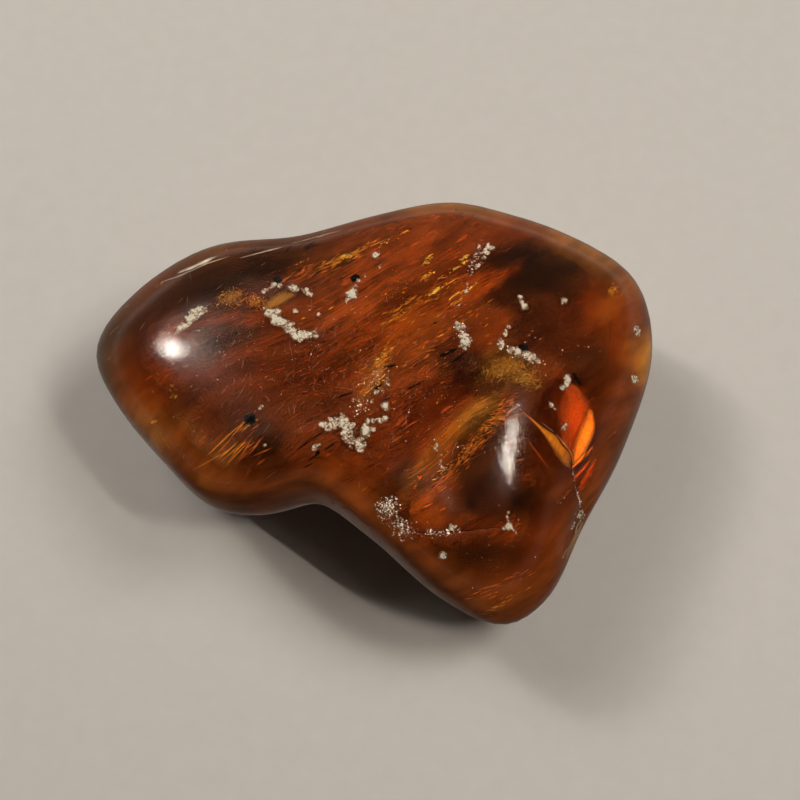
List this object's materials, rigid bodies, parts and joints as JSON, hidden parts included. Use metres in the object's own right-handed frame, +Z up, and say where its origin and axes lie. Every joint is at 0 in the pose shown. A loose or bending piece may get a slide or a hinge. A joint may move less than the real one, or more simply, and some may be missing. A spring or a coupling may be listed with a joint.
{
  "type": "piece of amber",
  "caption": "Polished lobed pebble of reddish-brown amber with flow streaks, dark specks and white crust patches; rests on a small flat.",
  "frame": {"origin": "centre of the bounding box, at the height of the resting flat", "axes": "+X along the longest extent, from the narrow lobe to the broad side; +Y away from the nose; +Z up, the thickness"},
  "size_m": [0.0664, 0.049, 0.0249],
  "materials": {
    "amber": "polished",
    "crust": "matte",
    "inclusion": "satin",
    "streak": "satin"
  },
  "bodies": {
    "root": {"amber": "amber"}
  },
  "joints": []
}
